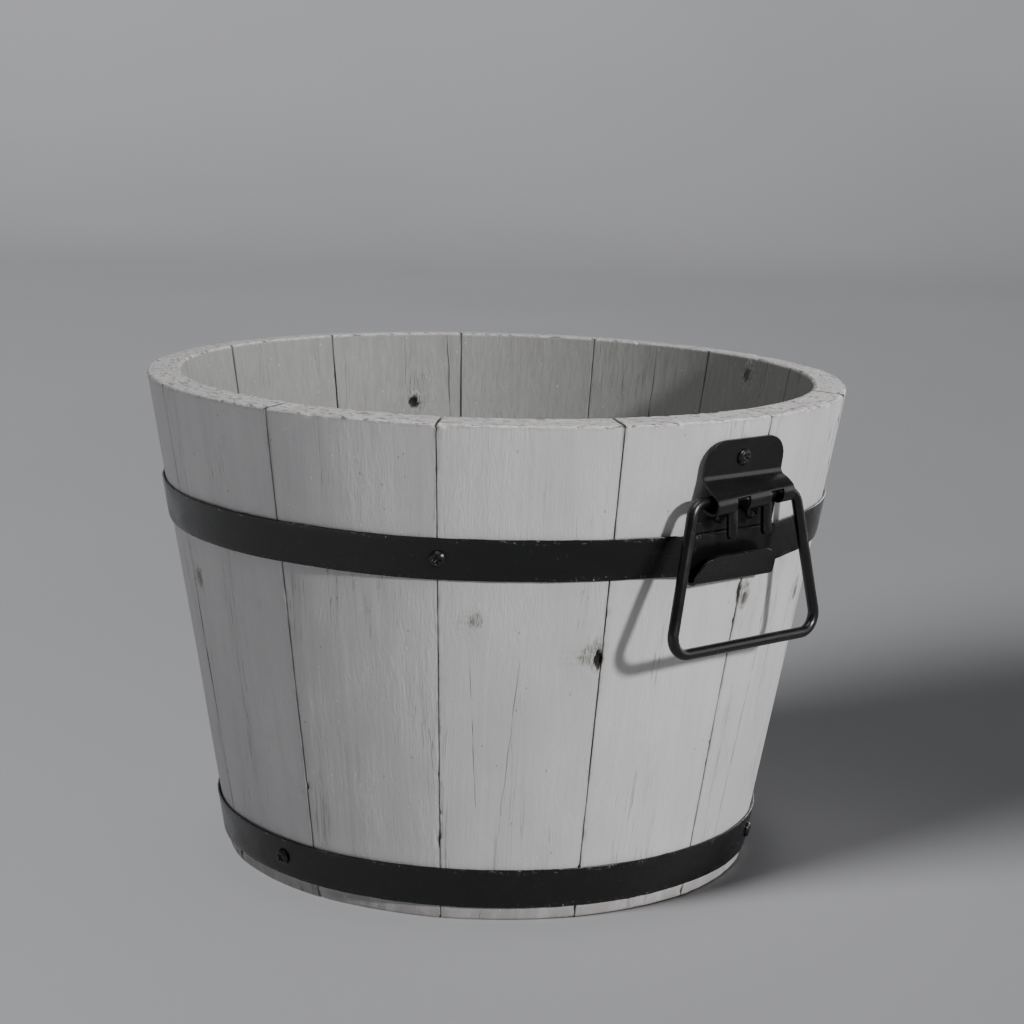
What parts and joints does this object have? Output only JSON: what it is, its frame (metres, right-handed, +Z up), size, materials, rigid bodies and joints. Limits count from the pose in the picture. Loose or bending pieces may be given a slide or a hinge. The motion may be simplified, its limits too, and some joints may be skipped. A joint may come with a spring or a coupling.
{
  "type": "wooden bucket",
  "caption": "Tapered wooden stave bucket with steel hoops, a boarded bottom and a wire drop handle on each side.",
  "frame": {"origin": "on the floor at the tub's axis", "axes": "+Z up along the tub's axis; the front is -Y, with a handle to the front right and one opposite it"},
  "size_m": [0.3994, 0.3994, 0.2773],
  "materials": {
    "whitewashed_wood": "thin grey-white paint, grain showing",
    "black_steel": "satin black",
    "black_screw": "satin black, worn recess"
  },
  "bodies": {
    "tub": {"stave_01": "whitewashed_wood", "stave_02": "whitewashed_wood", "stave_03": "whitewashed_wood", "stave_04": "whitewashed_wood", "stave_05": "whitewashed_wood", "stave_06": "whitewashed_wood", "stave_07": "whitewashed_wood", "stave_08": "whitewashed_wood", "stave_09": "whitewashed_wood", "stave_10": "whitewashed_wood", "stave_11": "whitewashed_wood", "stave_12": "whitewashed_wood", "stave_13": "whitewashed_wood", "bottom_board_1": "whitewashed_wood", "bottom_board_2": "whitewashed_wood", "bottom_board_3": "whitewashed_wood", "bottom_board_4": "whitewashed_wood", "upper_hoop": "black_steel", "lower_hoop": "black_steel", "hoop_rivets": "black_steel", "hoop_screws": "black_screw", "bracket_right": "black_steel", "bracket_screws_right": "black_screw", "bracket_left": "black_steel", "bracket_screws_left": "black_screw"},
    "bail_right": {"bail_right": "black_steel"},
    "bail_left": {"bail_left": "black_steel"}
  },
  "joints": [
    {"name": "bail_right_swing", "type": "hinge", "parent": "tub", "child": "bail_right", "pos_m": [0.13082, -0.14996, 0.2344], "axis": [-0.7536, -0.6574, 0], "range_deg": [-6, 78]},
    {"name": "bail_left_swing", "type": "hinge", "parent": "tub", "child": "bail_left", "pos_m": [-0.13082, 0.14996, 0.2344], "axis": [0.7536, 0.6574, 0], "range_deg": [-6, 78]}
  ]
}
